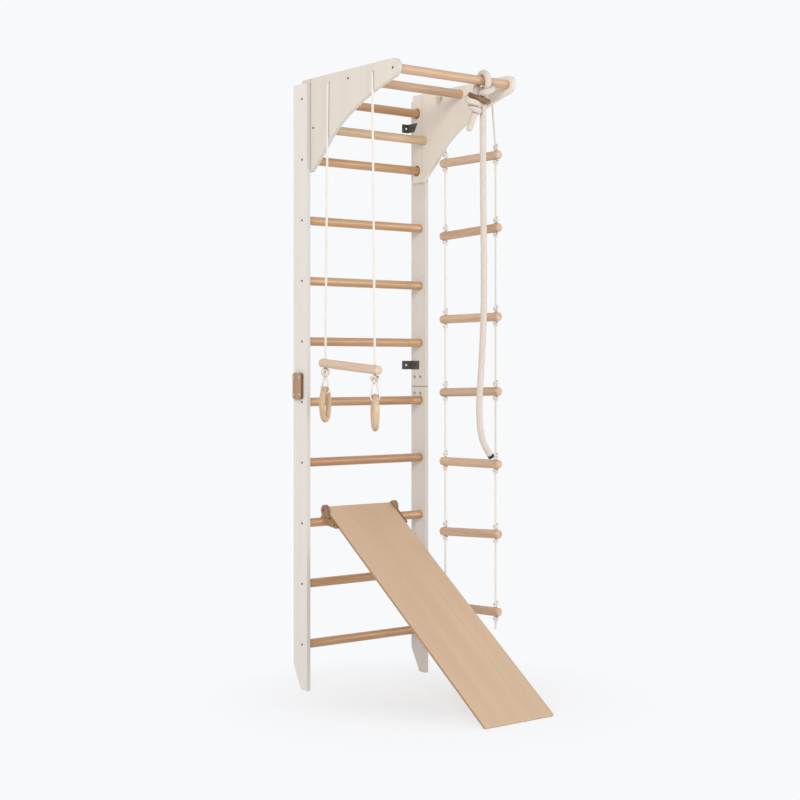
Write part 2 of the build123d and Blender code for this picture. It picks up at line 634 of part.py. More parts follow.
def turn_radius(before, at, after):
    """The largest arc that a corner's two runs allow."""
    a = Vector(*at) - Vector(*before)
    b = Vector(*after) - Vector(*at)
    half = math.radians(a.get_angle(b)) / 2
    return 0.45 * min(a.length, b.length) / math.tan(half)


route = [(CLIMB_X + dx, CLIMB_Y, CLIMB_TOP - drop) for dx, drop in CLIMB_ROUTE]
radii = [turn_radius(*route[i - 1:i + 2]) for i in range(1, len(route) - 1)]
print("climbing rope radii", [round(r) for r in radii])
path = FilletPolyline(*route, radius=radii)
rope = sweep(Plane(origin=route[0], z_dir=path % 0) * Circle(CLIMB_R), path=path)
print(f"climbing rope length {path.length:.1f}, volume ratio "
      f"{rope.volume / (math.pi * CLIMB_R ** 2 * path.length):.5f}")
save("climbing_rope", rope)
end = Vector(*route[-1])
heading = (end - Vector(*route[-2])).normalized()
cap_end = end + heading * CAP_LENGTH
save("rope_end_cap", rod_between(tuple(end), tuple(cap_end), CAP_DIA / 2))

# ---- slide ------------------------------------------------------------------------------------
SLIDE_Z = rung_height(SLIDE_RUNG)
# the slope puts the rounded lower corner of the board on the floor
reach = BOARD_LENGTH - BOARD_OVERRUN
round_along = reach - EDGE_ROUND
round_up = BOARD_RISE - BOARD_THICK + EDGE_ROUND
round_reach = math.hypot(round_along, round_up)
SLIDE_ANGLE = math.asin((SLIDE_Z - EDGE_ROUND) / round_reach) + math.atan2(round_up, round_along)
down = (-math.cos(SLIDE_ANGLE), -math.sin(SLIDE_ANGLE))
up = (-math.sin(SLIDE_ANGLE), math.cos(SLIDE_ANGLE))
print(f"slide angle {math.degrees(SLIDE_ANGLE):.3f}, rung axis y {RUNG_Y} z {SLIDE_Z - ORIGIN_HEIGHT}")


def slide_place(x0):
    """Sketch (along the board, off the board) turned to the slope, extruded along X."""
    return Plane(origin=(x0, RUNG_Y, SLIDE_Z), x_dir=(0, *down), z_dir=(-1, 0, 0))


board_left = -BOARD_REACH_LEFT
board_right = board_left + BOARD_WIDTH
board_mid = BOARD_RISE - BOARD_THICK / 2
board_face = Pos((reach - BOARD_OVERRUN) / 2, board_mid) * Rectangle(BOARD_LENGTH, BOARD_THICK)
board = extrude(slide_place(board_right) * board_face, amount=BOARD_WIDTH)
off_board = Axis((0, 0, 0), (0, *up))
board = fillet(board.edges().filter_by(off_board), BOARD_CORNER_R)
ends = board.faces().sort_by(off_board)
board = fillet(ends[0].edges() + ends[-1].edges(), EDGE_ROUND)


def hook_outline():
    """Cheek profile: a round head, a notch that drops over the rung and a long toe."""
    notch_r = RUNG_R + HOOK_NOTCH_GAP
    toe = Polyline((LOBE_ALONG, LOBE_UP), (-HOOK_BACK, LOBE_UP), (-HOOK_BACK, -HOOK_LIP),
                   (0, -HOOK_LIP), (HOOK_FRONT, 0), (HOOK_END, BOARD_RISE - BOARD_THICK),
                   (HOOK_END, BOARD_RISE), (LOBE_ALONG, BOARD_RISE), (LOBE_ALONG, LOBE_UP))
    face = make_face(toe) + Pos(LOBE_ALONG, LOBE_UP) * Circle(LOBE_R)
    face = fillet(face.vertices(), HOOK_ROUND)
    slot = Pos(0, -notch_r) * Rectangle(2 * notch_r, 2 * notch_r)
    return face - Circle(notch_r) - slot


def hook_screw_places():
    """(Y, Z) of each screw that holds a cheek to the edge of the board."""
    return [
        (RUNG_Y + down[0] * along + up[0] * board_mid, SLIDE_Z + down[1] * along + up[1] * board_mid)
        for along in HOOK_SCREW_ALONG
    ]


hook_faces = {-1: board_left - HOOK_THICK, 1: board_right + HOOK_THICK}
screws = []
for name, side in SIDES.items():
    face_x = hook_faces[side]
    cheek = extrude(slide_place(max(face_x, face_x - side * HOOK_THICK)) * hook_outline(),
                    amount=HOOK_THICK)
    for y, z in hook_screw_places():
        tip = face_x - side * HOOK_SCREW_LENGTH
        hole = rod_x(HOOK_SCREW_DIA / 2 + HOLE_GAP, (face_x + side, tip - side * HOLE_GAP), y, z)
        cheek = cheek - hole
        board = board - hole
        top = face_x + side * SCREW_HEAD_THICK
        head = rod_x(SCREW_HEAD_DIA / 2, (face_x, top), y, z)
        rim = head.faces().sort_by(Axis.X)[0 if side < 0 else -1].edges()
        head = fillet(rim, SCREW_HEAD_THICK * HEAD_ROUND)
        screws.append(head + rod_x(HOOK_SCREW_DIA / 2, (face_x, tip), y, z))
    save(f"slide_hook_{name}", cheek)
save("slide_board", board)
save("slide_screws", screws)
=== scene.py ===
import json
import math
import random

import bpy
import numpy as np
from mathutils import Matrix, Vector


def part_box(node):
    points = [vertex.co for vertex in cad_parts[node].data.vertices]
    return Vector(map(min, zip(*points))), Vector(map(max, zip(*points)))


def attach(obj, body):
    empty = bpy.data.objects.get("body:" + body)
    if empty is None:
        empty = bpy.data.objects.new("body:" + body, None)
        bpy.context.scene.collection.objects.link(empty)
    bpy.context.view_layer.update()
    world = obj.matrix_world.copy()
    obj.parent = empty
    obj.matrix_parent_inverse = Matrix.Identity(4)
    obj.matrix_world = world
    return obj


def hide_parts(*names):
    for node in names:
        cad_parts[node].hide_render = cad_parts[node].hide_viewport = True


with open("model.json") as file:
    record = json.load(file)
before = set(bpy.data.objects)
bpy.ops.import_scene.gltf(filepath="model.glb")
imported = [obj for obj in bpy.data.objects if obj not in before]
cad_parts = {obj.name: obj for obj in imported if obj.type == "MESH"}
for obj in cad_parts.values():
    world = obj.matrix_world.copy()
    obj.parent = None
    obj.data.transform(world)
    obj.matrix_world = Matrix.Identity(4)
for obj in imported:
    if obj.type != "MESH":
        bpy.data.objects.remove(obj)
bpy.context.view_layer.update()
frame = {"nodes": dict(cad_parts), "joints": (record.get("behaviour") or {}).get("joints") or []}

MM = 0.001
JOINTS = {joint["name"]: joint for joint in frame["joints"]}
FLOOR_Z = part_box("left_upright_lower")[0][2]


def srgb(red, green, blue):
    """A colour given in 0-255 sRGB, as the linear values that shaders take."""
    out = []
    for value in (red, green, blue):
        c = value / 255
        out.append(c / 12.92 if c <= 0.04045 else ((c + 0.055) / 1.055) ** 2.4)
    return (*out, 1.0)


# ---- camera ------------------------------------------------------------------------
camera = bpy.data.objects.new("camera", bpy.data.cameras.new("camera"))
bpy.context.scene.collection.objects.link(camera)
camera.location = (-3.8069, -5.1187, -0.5034)
camera.rotation_euler = (math.radians(90), 0, math.radians(-38.271))
camera.data.lens = 69.76
camera.data.sensor_width = 36
camera.data.shift_y = -0.0421
camera.data.clip_end = 60
bpy.context.scene.camera = camera

# ---- rope geometry ---------------------------------------------------------------------
THIN_R = 4.5 * MM
THICK_R = 12.5 * MM
KNOT_R = 11 * MM
SOFT_GAP = 0.3 * MM
# strand cells round a thin and a thick rope, and facets round one cell
THIN_CELLS = 4
THICK_CELLS = 8
CELL_FACETS = 6
# shares of a rope's radius: the step between its rings, the lay of its strands, the depth of the
# braid and the length of a rounded end
RING_STEP = 0.32
STRAND_LAY = 5.2
BRAID_DEPTH = 0.055
END_ROUND = 0.55


def nurbs_line(points, resolution=16):
    """Points along a smooth NURBS line whose control points are the given ones."""
    curve = bpy.data.curves.new("route", "CURVE")
    curve.dimensions = "3D"
    curve.resolution_u = resolution
    spline = curve.splines.new("NURBS")
    spline.points.add(len(points) - 1)
    for point, place in zip(spline.points, points):
        point.co = (*place, 1.0)
    spline.order_u = 3
    spline.use_endpoint_u = True
    holder = bpy.data.objects.new("route", curve)
    bpy.context.scene.collection.objects.link(holder)
    mesh = bpy.data.meshes.new_from_object(holder)
    line = np.array([tuple(v.co) for v in mesh.vertices])
    bpy.data.objects.remove(holder)
    bpy.data.curves.remove(curve)
    bpy.data.meshes.remove(mesh)
    return line


def resampled(line, step, closed=False):
    """The same line with its points evenly spaced, and its length."""
    line = np.asarray(line, float)
    if closed:
        line = np.vstack([line, line[:1]])
    length = np.concatenate([[0], np.cumsum(np.linalg.norm(np.diff(line, axis=0), axis=1))])
    count = max(4, int(round(length[-1] / step)))
    at = np.linspace(0, length[-1], count + 1)
    if closed:
        at = at[:-1]
    return np.stack([np.interp(at, length, line[:, i]) for i in range(3)], axis=1), length[-1]


def transported(line, closed):
    """A tangent, a normal and a binormal at each point, carried along without twist."""
    if closed:
        tangents = np.roll(line, -1, axis=0) - np.roll(line, 1, axis=0)
    else:
        tangents = np.gradient(line, axis=0)
    tangents /= np.linalg.norm(tangents, axis=1)[:, None]
    seed = np.array([0.0, 1.0, 0.0])
    if abs(tangents[0] @ seed) > 0.9:
        seed = np.array([1.0, 0.0, 0.0])
    normals = [np.cross(tangents[0], seed)]
    for tangent in tangents[1:]:
        normal = normals[-1] - tangent * (normals[-1] @ tangent)
        normals.append(normal)
    normals = np.array([n / np.linalg.norm(n) for n in normals])
    if closed:
        last = normals[-1] - tangents[0] * (normals[-1] @ tangents[0])
        last /= np.linalg.norm(last)
        bend = math.atan2(np.cross(normals[0], last) @ tangents[0], normals[0] @ last)
        turn = -bend * np.arange(len(line)) / len(line)
        side = np.cross(tangents, normals)
        normals = normals * np.cos(turn)[:, None] + side * np.sin(turn)[:, None]
    return tangents, normals, np.cross(tangents, normals)


def rope_rings(line, radius, cells, closed=False, caps=True):
    """Vertices, faces and UVs of a braided rope along a line."""
    sides = cells * CELL_FACETS
    centres, length = resampled(line, radius * RING_STEP, closed)
    tangents, normals, binormals = transported(centres, closed)
    count = len(centres)
    along = np.arange(count) * length / (count if closed else count - 1)
    lay = 2 * math.pi / (radius * STRAND_LAY)
    if closed:
        lay = 2 * math.pi * max(1, round(lay * length / (2 * math.pi))) / length
    angle = np.arange(sides) * 2 * math.pi / sides
    over = np.cos(cells * angle[None, :] - lay * along[:, None])
    under = np.cos(cells * angle[None, :] + lay * along[:, None])
    r = radius * (1 - BRAID_DEPTH * (1 - np.maximum(over, under)))
    if caps and not closed:
        rounded = radius * END_ROUND
        for near in (along, along[-1] - along):
            t = np.clip(1 - near / rounded, 0, 1)
            r = r * np.sqrt(np.clip(1 - 0.96 * t ** 2, 0, 1))[:, None]
    places = (centres[:, None, :] + r[:, :, None] * (
        np.cos(angle)[None, :, None] * normals[:, None, :]
        + np.sin(angle)[None, :, None] * binormals[:, None, :]))
    verts = places.reshape(-1, 3).tolist()
    faces, uvs = [], []
    rows = count if closed else count - 1
    for i in range(rows):
        j = (i + 1) % count
        v0, v1 = i * length / rows / radius, (i + 1) * length / rows / radius
        for k in range(sides):
            m = (k + 1) % sides
            faces.append((i * sides + k, i * sides + m, j * sides + m, j * sides + k))
            u0, u1 = k / sides, (k + 1) / sides
            uvs += [(u0, v0), (u1, v0), (u1, v1), (u0, v1)]
    if not closed:
        for row, order in ((0, -1), (count - 1, 1)):
            verts.append(tuple(centres[row]))
            tip = len(verts) - 1
            for k in range(sides):
                a, b = row * sides + k, row * sides + (k + 1) % sides
                faces.append((a, b, tip)[::order])
                uvs += [(k / sides, 0.0)] * 3
    return verts, faces, uvs


def piece(name, parts, material, body):
    """One mesh object from several (vertices, faces, uvs) parts, riding on a body."""
    verts, faces, uvs = [], [], []
    for part_verts, part_faces, part_uvs in parts:
        base = len(verts)
        verts += [tuple(v) for v in part_verts]
        faces += [tuple(base + i for i in face) for face in part_faces]
        uvs += part_uvs
    mesh = bpy.data.meshes.new(name)
    mesh.from_pydata(verts, [], faces)
    layer = mesh.uv_layers.new(name="UVMap")
    layer.data.foreach_set("uv", np.array(uvs, np.float32).ravel())
    mesh.validate()
    mesh.polygons.foreach_set("use_smooth", [True] * len(mesh.polygons))
    mesh.materials.append(material)
    obj = bpy.data.objects.new(name, mesh)
    bpy.context.scene.collection.objects.link(obj)
    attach(obj, body)
    return obj


def trefoil(centre, size, depth, turn, shift=0.0, tall=1.0, count=90):
    """A closed overhand-knot line in an upright plane turned about Z, pushed off it by shift."""
    t = np.linspace(0, 2 * math.pi, count, endpoint=False)
    wide = size * (np.sin(t) + 2 * np.sin(2 * t))
    high = size * (np.cos(t) - 2 * np.cos(2 * t)) * tall
    deep = -depth * np.sin(3 * t) + shift
    c, s = math.cos(turn), math.sin(turn)
    return np.stack([
        centre[0] + wide * c - deep * s,
        centre[1] + wide * s + deep * c,
        centre[2] + high,
    ], axis=1)


def button(centre, radius, depth, turn, turns=2.3, count=120):
    """A coil wound out from a ball's middle to its rim and back in behind, facing turn."""
    t = np.linspace(-1, 1, count)
    angle = turns * 2 * math.pi * t
    reach = radius * (0.16 + 0.84 * np.sqrt(np.clip(1 - np.abs(t) ** 1.6, 0, 1)))
    across = reach * np.cos(angle)
    high = reach * np.sin(angle)
    deep = depth * np.sin(t * math.pi / 2)
    c, s = math.cos(turn), math.sin(turn)
    return np.stack([
        centre[0] + across * c - deep * s,
        centre[1] + across * s + deep * c,
        centre[2] + high,
    ], axis=1)


def lathe(profile, origin, axis, sides=48):
    """A turned shape: profile is (distance along the axis, radius) pairs."""
    axis = Vector(axis).normalized()
    turn = Vector((0, 0, 1)).rotation_difference(axis).to_matrix()
    verts, faces, uvs = [], [], []
    for along, radius in profile:
        for k in range(sides):
            a = 2 * math.pi * k / sides
            local = Vector((radius * math.cos(a), radius * math.sin(a), along))
            verts.append(tuple(Vector(origin) + turn @ local))
    for i in range(len(profile) - 1):
        for k in range(sides):
            m = (k + 1) % sides
            faces.append((i * sides + k, i * sides + m, (i + 1) * sides + m, (i + 1) * sides + k))
            u0, u1 = k / sides, (k + 1) / sides
            uvs += [(u0, i), (u1, i), (u1, i + 1), (u0, i + 1)]
    faces.append(tuple(range(sides))[::-1])
    faces.append(tuple(range((len(profile) - 1) * sides, len(profile) * sides)))
    uvs += [(0.0, 0.0)] * (2 * sides)
    return verts, faces, uvs


# ---- materials -------------------------------------------------------------------------
X_AXIS, Y_AXIS, Z_AXIS = 0, 1, 2
SLIDE_ANGLE = math.radians(36.07)
# the front edge of the uprights, where the gussets meet them, and where the uprights' halves meet;
# painted shadow lines run along both
GUSSET_JOINT_Y = -0.0938
SEAM_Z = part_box("left_upright_lower")[1][2]
# how far the figure of wood is squeezed along its grain, and the scales of its streaks and fibres
GRAIN_SQUEEZE = 0.055
STREAK_SCALE = 95.0
FIBRE_SCALE = 620.0
# the mix node's sockets for colours: the factor, the two colours and the result
MIX_FACTOR, MIX_FIRST, MIX_SECOND, MIX_RESULT = 0, 6, 7, 2


def new_material(name):
    """A material, its node tree and its Principled shader."""
    material = bpy.data.materials.new(name)
    material.use_nodes = True
    tree = material.node_tree
    return material, tree, tree.nodes["Principled BSDF"]


def add(tree, kind, **values):
    """A node with its properties and, by input name, its values set."""
    node = tree.nodes.new(kind)
    for key, value in values.items():
        if key.startswith("in_"):
            node.inputs[key[3:].replace("_", " ").title()].default_value = value
        else:
            setattr(node, key, value)
    return node


def ramp(tree, source, stops):
    """A colour ramp fed by a socket; stops are (place, colour)."""
    node = tree.nodes.new("ShaderNodeValToRGB")
    elements = node.color_ramp.elements
    while len(elements) < len(stops):
        elements.new(0.5)
    for element, (place, colour) in zip(elements, stops):
        element.position = place
        element.color = colour
    tree.links.new(source, node.inputs["Fac"])
    return node.outputs["Color"]


def mix(tree, first, second, factor, blend="MIX"):
    """A colour mix; factor, first and second are sockets, colours or numbers."""
    node = tree.nodes.new("ShaderNodeMix")
    node.data_type = "RGBA"
    node.blend_type = blend
    for place, value in ((MIX_FACTOR, factor), (MIX_FIRST, first), (MIX_SECOND, second)):
        if isinstance(value, bpy.types.NodeSocket):
            tree.links.new(value, node.inputs[place])
        else:
            node.inputs[place].default_value = value
    return node.outputs[MIX_RESULT]


def noise(tree, vector, scale, detail, rough, distort=0.0):
    """The grey of a noise texture."""
    node = add(tree, "ShaderNodeTexNoise", in_scale=scale, in_detail=detail, in_roughness=rough,
               in_distortion=distort)
    tree.links.new(vector, node.inputs["Vector"])
    return node.outputs["Fac"]


def grain_space(tree, tilt, stretch):
    """Object coordinates turned about X by tilt and squeezed along the grain."""
    coords = tree.nodes.new("ShaderNodeTexCoord")
    turn = add(tree, "ShaderNodeMapping")
    turn.inputs["Rotation"].default_value = (tilt, 0, 0)
    squeeze = add(tree, "ShaderNodeMapping")
    squeeze.inputs["Scale"].default_value = stretch
    tree.links.new(coords.outputs["Object"], turn.inputs["Vector"])
    tree.links.new(turn.outputs["Vector"], squeeze.inputs["Vector"])
    return squeeze.outputs["Vector"]


def grey(level):
    """A grey as a colour."""
    return (level, level, level, 1.0)


def toned(colours, tint):
    """Colours times a tint."""
    return tuple(tuple(min(1.0, c * t) for c, t in zip(colour, (*tint, 1.0))) for colour in colours)


def emboss(tree, shader, height, strength, depth):
    """Fine relief on a shader from a grey."""
    relief = add(tree, "ShaderNodeBump", in_strength=strength, in_distance=depth)
    tree.links.new(height, relief.inputs["Height"])
    tree.links.new(relief.outputs["Normal"], shader.inputs["Normal"])


def component(tree, output, axis):
    """One component of a texture coordinate."""
    coords = tree.nodes.new("ShaderNodeTexCoord")
    split = tree.nodes.new("ShaderNodeSeparateXYZ")
    tree.links.new(coords.outputs[output], split.inputs[0])
    return split.outputs[axis]


def absolute(tree, value):
    """The size of a value, without its sign."""
    size = add(tree, "ShaderNodeMath", operation="ABSOLUTE")
    tree.links.new(value, size.inputs[0])
    return size.outputs[0]


def tint_where(material, factor, tint):
    """Multiply a tint into a material's base colour as far as a grey says."""
    tree = material.node_tree
    base = tree.nodes["Principled BSDF"].inputs["Base Color"]
    toned_base = mix(tree, base.links[0].from_socket, tint, factor, "MULTIPLY")
    tree.links.new(toned_base, base)


def wood(name, colours, along, tilt=0.0, figure=0.5, rough=0.5, coat=0.12, bump=0.12, broad=5.0):
    """Lacquered wood. colours are dark, middle and light; along is the grain's axis."""
    material, tree, shader = new_material(name)
    stretch = [1.0, 1.0, 1.0]
    stretch[along] = GRAIN_SQUEEZE
    space = grain_space(tree, tilt, stretch)
    wide = noise(tree, space, broad * 4, 3.0, 0.55, 0.7)
    streaks = noise(tree, space, STREAK_SCALE, 5.0, 0.62, 0.35)
    fibres = noise(tree, space, FIBRE_SCALE, 3.0, 0.6)
    dark, middle, light = colours
    base = ramp(tree, wide, [(0.32, dark), (0.52, middle), (0.72, light)])
    streak = ramp(tree, streaks, [(0.38, grey(1 - 0.30 * figure)), (0.62, grey(1.0))])
    base = mix(tree, base, streak, 1.0, "MULTIPLY")
    fibre = ramp(tree, fibres, [(0.35, grey(1 - 0.16 * figure)), (0.6, grey(1.0))])
    base = mix(tree, base, fibre, 1.0, "MULTIPLY")
    tree.links.new(base, shader.inputs["Base Color"])
    polish = ramp(tree, streaks, [(0.3, grey(rough + 0.1)), (0.7, grey(rough - 0.06))])
    tree.links.new(polish, shader.inputs["Roughness"])
    emboss(tree, shader, fibres, bump, 0.6 * MM)
    shader.inputs["Coat Weight"].default_value = coat
    shader.inputs["Coat Roughness"].default_value = 0.32
    shader.inputs["IOR"].default_value = 1.47
    return material


def pale_wood(name, colour):
    """Nearly white lacquered board: its colour and a touch darker and lighter."""
    colours = [toned([colour], (tone, tone, tone))[0] for tone in (0.965, 1.0, 1.025)]
    return wood(name, colours, Z_AXIS, figure=0.035, rough=0.56, coat=0.05, bump=0.05, broad=2.5)


def ply_edge_tone_or_painted_shade(material, axis, tint, others=False):
    """Multiply in a tint on the faces that look along an axis, or on all the others: the ply edges'
    own darker tone, or painted shade on the front faces of the uprights and gussets.
    """
    tree = material.node_tree
    facing = absolute(tree, component(tree, "Normal", axis))
    if others:
        stops = [(0.45, grey(1.0)), (0.85, grey(0.0))]
    else:
        stops = [(0.35, grey(0.0)), (0.8, grey(1.0))]
    tint_where(material, ramp(tree, facing, stops), tint)


def joint_shadow_line(material, along, place, tint):
    """Multiply in a painted shadow line: a tint in a thin line across the object at a place along
    an axis, in metres.
    """
    tree = material.node_tree
    off = add(tree, "ShaderNodeMath", operation="SUBTRACT")
    tree.links.new(component(tree, "Object", along), off.inputs[0])
    off.inputs[1].default_value = place
    away = absolute(tree, off.outputs[0])
    line = ramp(tree, away, [(0.8 * MM, grey(1.0)), (1.6 * MM, grey(0.0))])
    tint_where(material, line, tint)


def rope_material(name, colour, shade, cells, shade_reach=7 * MM, shade_end=0.85):
    """Braided cotton: a weave from the rope's own UVs, fuzz, and painted shade in its hollows from
    an ambient-occlusion node.
    """
    material, tree, shader = new_material(name)
    coords = tree.nodes.new("ShaderNodeTexCoord")
    fuzz = noise(tree, coords.outputs["Object"], 900.0, 4.0, 0.65)
    patches = noise(tree, coords.outputs["Object"], 22.0, 3.0, 0.5)
    weave = add(tree, "ShaderNodeMapping")
    weave.inputs["Scale"].default_value = (cells * 2.0, 1.9, 1.0)
    weave.inputs["Rotation"].default_value = (0, 0, math.radians(45))
    tree.links.new(coords.outputs["UV"], weave.inputs["Vector"])
    cross = add(tree, "ShaderNodeTexChecker", in_scale=1.0)
    tree.links.new(weave.outputs["Vector"], cross.inputs["Vector"])
    tone = mix(tree, shade, colour, patches)
    check = ramp(tree, cross.outputs["Fac"], [(0.0, grey(0.955)), (1.0, grey(1.0))])
    tone = mix(tree, tone, check, 1.0, "MULTIPLY")
    fluff = ramp(tree, fuzz, [(0.3, grey(0.90)), (0.6, grey(1.0))])
    tone = mix(tree, tone, fluff, 1.0, "MULTIPLY")
    # painted shade: ambient occlusion darkens the base colour in the hollows of the braid and the
    # knots
    hollow = add(tree, "ShaderNodeAmbientOcclusion", samples=6)
    hollow.inputs["Distance"].default_value = shade_reach
    depth = ramp(tree, hollow.outputs["AO"],
                 [(0.25, (0.34, 0.27, 0.21, 1.0)), (shade_end, grey(1.0))])
    tone = mix(tree, tone, depth, 1.0, "MULTIPLY")
    tree.links.new(tone, shader.inputs["Base Color"])
    shader.inputs["Roughness"].default_value = 0.88
    shader.inputs["Sheen Weight"].default_value = 0.25
    shader.inputs["Sheen Roughness"].default_value = 0.5
    emboss(tree, shader, fuzz, 0.35, 0.5 * MM)
    return material


def metal(name, colour, rough, metallic):
    """Plated or painted steel, or rubber when metallic is 0, with faint scuffs."""
    material, tree, shader = new_material(name)
    coords = tree.nodes.new("ShaderNodeTexCoord")
    scuffs = noise(tree, coords.outputs["Object"], 240.0, 6.0, 0.7, 0.8)
    scuffed = toned([colour], (0.72, 0.72, 0.72))[0]
    tone = ramp(tree, scuffs, [(0.3, scuffed), (0.65, colour)])
    tree.links.new(tone, shader.inputs["Base Color"])
    polish = ramp(tree, scuffs, [(0.3, grey(rough + 0.14)), (0.7, grey(rough))])
    tree.links.new(polish, shader.inputs["Roughness"])
    emboss(tree, shader, scuffs, 0.08, 0.3 * MM)
    shader.inputs["Metallic"].default_value = metallic
    return material


# painted light and shade: the uprights and gussets are one wood, but each side gets its own tone
# for how light falls on it, the left upright lighter and the right one darker; their front faces
# get painted shade, and painted shadow lines run along the gusset joints and the right upright's
# seam
left_wood_lit = pale_wood("upright_wood_left_lit", srgb(236, 230, 223))
ply_edge_tone_or_painted_shade(left_wood_lit, "Y", (0.76, 0.78, 0.81, 1.0))
right_wood_shaded = pale_wood("upright_wood_right_shaded", srgb(223, 215, 207))
ply_edge_tone_or_painted_shade(right_wood_shaded, "Y", (0.80, 0.82, 0.84, 1.0))
joint_shadow_line(right_wood_shaded, "Z", SEAM_Z, (0.45, 0.40, 0.36, 1.0))
left_gusset_wood = pale_wood("gusset_wood_left", srgb(228, 220, 209))
ply_edge_tone_or_painted_shade(left_gusset_wood, "Y", (0.84, 0.86, 0.88, 1.0))
joint_shadow_line(left_gusset_wood, "Y", GUSSET_JOINT_Y, (0.55, 0.50, 0.45, 1.0))
right_gusset_wood = pale_wood("gusset_wood_right", srgb(236, 227, 216))
ply_edge_tone_or_painted_shade(right_gusset_wood, "Y", (0.84, 0.86, 0.88, 1.0))
joint_shadow_line(right_gusset_wood, "Y", GUSSET_JOINT_Y, (0.86, 0.84, 0.82, 1.0))

RUNG_COLOURS = (srgb(180, 135, 93), srgb(197, 154, 111), srgb(209, 170, 127))
# the rungs vary: tints from the top rung down, partly the wood's own tone and partly painted shade,
# the lower rungs darker where shade falls on them
RUNG_TINTS = [(1.15, 1.15, 1.15), (1.06, 1.05, 1.04), (0.98, 0.96, 0.96), (1.06, 1.10, 1.14),
              (1.04, 1.03, 1.02), (0.97, 0.93, 0.92), (0.96, 0.92, 0.92), (1.0, 0.96, 0.94),
              (0.98, 0.96, 0.94), (0.98, 0.98, 0.98)]
rung_woods = [wood(f"rung_wood_{index}", toned(RUNG_COLOURS, tint), X_AXIS, rough=0.36, coat=0.35)
              for index, tint in enumerate(RUNG_TINTS)]
high_bar_wood = wood(
    "high_bar_wood", (srgb(190, 150, 118), srgb(206, 170, 138), srgb(217, 184, 154)),
    X_AXIS, figure=0.45, rough=0.42)
low_bar_wood = wood(
    "low_bar_wood", (srgb(214, 179, 142), srgb(225, 194, 158), srgb(232, 205, 170)),
    X_AXIS, figure=0.45, rough=0.44)
trapeze_wood = wood(
    "trapeze_wood", (srgb(216, 185, 157), srgb(229, 202, 176), srgb(235, 212, 188)),
    Y_AXIS, figure=0.35)
# the ladder's rungs vary too: tints from the top one down
LADDER_COLOURS = (srgb(200, 162, 130), srgb(214, 180, 150), srgb(223, 193, 164))
LADDER_TINTS = [(1.10, 1.16, 1.22), (1.03, 1.04, 1.05), (1.03, 1.04, 1.05), (0.99, 1.0, 1.02),
                (1.14, 1.22, 1.28), (1.0, 1.0, 1.0), (0.97, 0.97, 0.97)]
ladder_woods = [wood(f"ladder_wood_{index}", toned(LADDER_COLOURS, tint), Y_AXIS, figure=0.45)
                for index, tint in enumerate(LADDER_TINTS)]
ring_wood = wood(
    "ring_wood", (srgb(200, 165, 130), srgb(214, 182, 148), srgb(224, 196, 162)),
    Z_AXIS, figure=0.4, rough=0.42, coat=0.25, broad=9.0)
toggle_wood = wood(
    "toggle_wood", (srgb(108, 76, 54), srgb(146, 108, 80), srgb(176, 136, 104)),
    X_AXIS, figure=0.9, rough=0.7, bump=0.6, broad=16.0)
plate_wood = wood(
    "plate_wood", (srgb(174, 134, 102), srgb(192, 153, 121), srgb(203, 167, 135)), Z_AXIS)
ply_edge_tone_or_painted_shade(plate_wood, "X", (0.42, 0.38, 0.35, 1.0), others=True)
slide_wood = wood(
    "slide_wood", (srgb(199, 169, 139), srgb(203, 174, 144), srgb(207, 179, 150)),
    Y_AXIS, tilt=-SLIDE_ANGLE, figure=0.05, rough=0.42, coat=0.18, bump=0.04, broad=3.0)
ply_edge_tone_or_painted_shade(slide_wood, "X", (0.70, 0.62, 0.55, 1.0))
hook_wood = wood(
    "hook_wood", (srgb(158, 120, 88), srgb(178, 140, 106), srgb(190, 154, 120)),
    Y_AXIS, tilt=-SLIDE_ANGLE, figure=0.6)
ply_edge_tone_or_painted_shade(hook_wood, "X", (0.60, 0.55, 0.50, 1.0), others=True)

thin_rope = rope_material("thin_rope", srgb(241, 237, 231), srgb(231, 225, 216), THIN_CELLS)
tie_rope = rope_material("tie_rope", srgb(232, 220, 194), srgb(220, 206, 178), THIN_CELLS)
# the knots get deeper, stronger painted shade in their hollows
knot_rope = rope_material("knot_rope", srgb(238, 231, 222), srgb(222, 211, 198), THIN_CELLS,
                          shade_reach=14 * MM, shade_end=0.98)
thick_rope = rope_material("thick_rope", srgb(226, 215, 205), srgb(214, 201, 189), THICK_CELLS)

bracket_steel = metal("bracket_steel", srgb(96, 94, 90), 0.5, 0.3)
bolt_steel = metal("bolt_steel", srgb(92, 85, 78), 0.45, 0.8)
splice_steel = metal("splice_steel", srgb(212, 206, 198), 0.38, 0.55)
nut_steel = metal("nut_steel", srgb(176, 163, 151), 0.45, 0.4)
black_rubber = metal("black_rubber", srgb(34, 33, 32), 0.6, 0.0)

# the start or the end of a node's name, and its material; the first that fits counts
FINISHES = [("splice_plate", plate_wood), ("_bracket", bracket_steel), ("pull_up", high_bar_wood),
            ("gusset_bar", low_bar_wood), ("trapeze_bar", trapeze_wood), ("ring_rear", ring_wood),
            ("ring_front", ring_wood), ("slide_board", slide_wood), ("slide_hook", hook_wood),
            ("splice_bolts", splice_steel), ("splice_nuts", nut_steel), ("bolts", bolt_steel),
            ("screws", bolt_steel), ("rope_end_cap", black_rubber), ("toggle_peg", toggle_wood)]


def finish_for(name):
    """The material of a part, by its node's name; what nothing else fits is thin rope."""
    number = name.rsplit("_", 1)[-1]
    if "upright" in name and name.endswith(("_lower", "_upper")):
        return left_wood_lit if name.startswith("left") else right_wood_shaded
    if name.endswith("_gusset"):
        return left_gusset_wood if name.startswith("left") else right_gusset_wood
    if name.startswith("rung_") and number.isdigit():
        return rung_woods[max(0, len(rung_woods) - int(number))]
    if name.startswith("ladder_rung_"):
        return ladder_woods[int(number) - 1]
    for key, finish in FINISHES:
        if name.startswith(key) or name.endswith(key):
            return finish
    return thin_rope


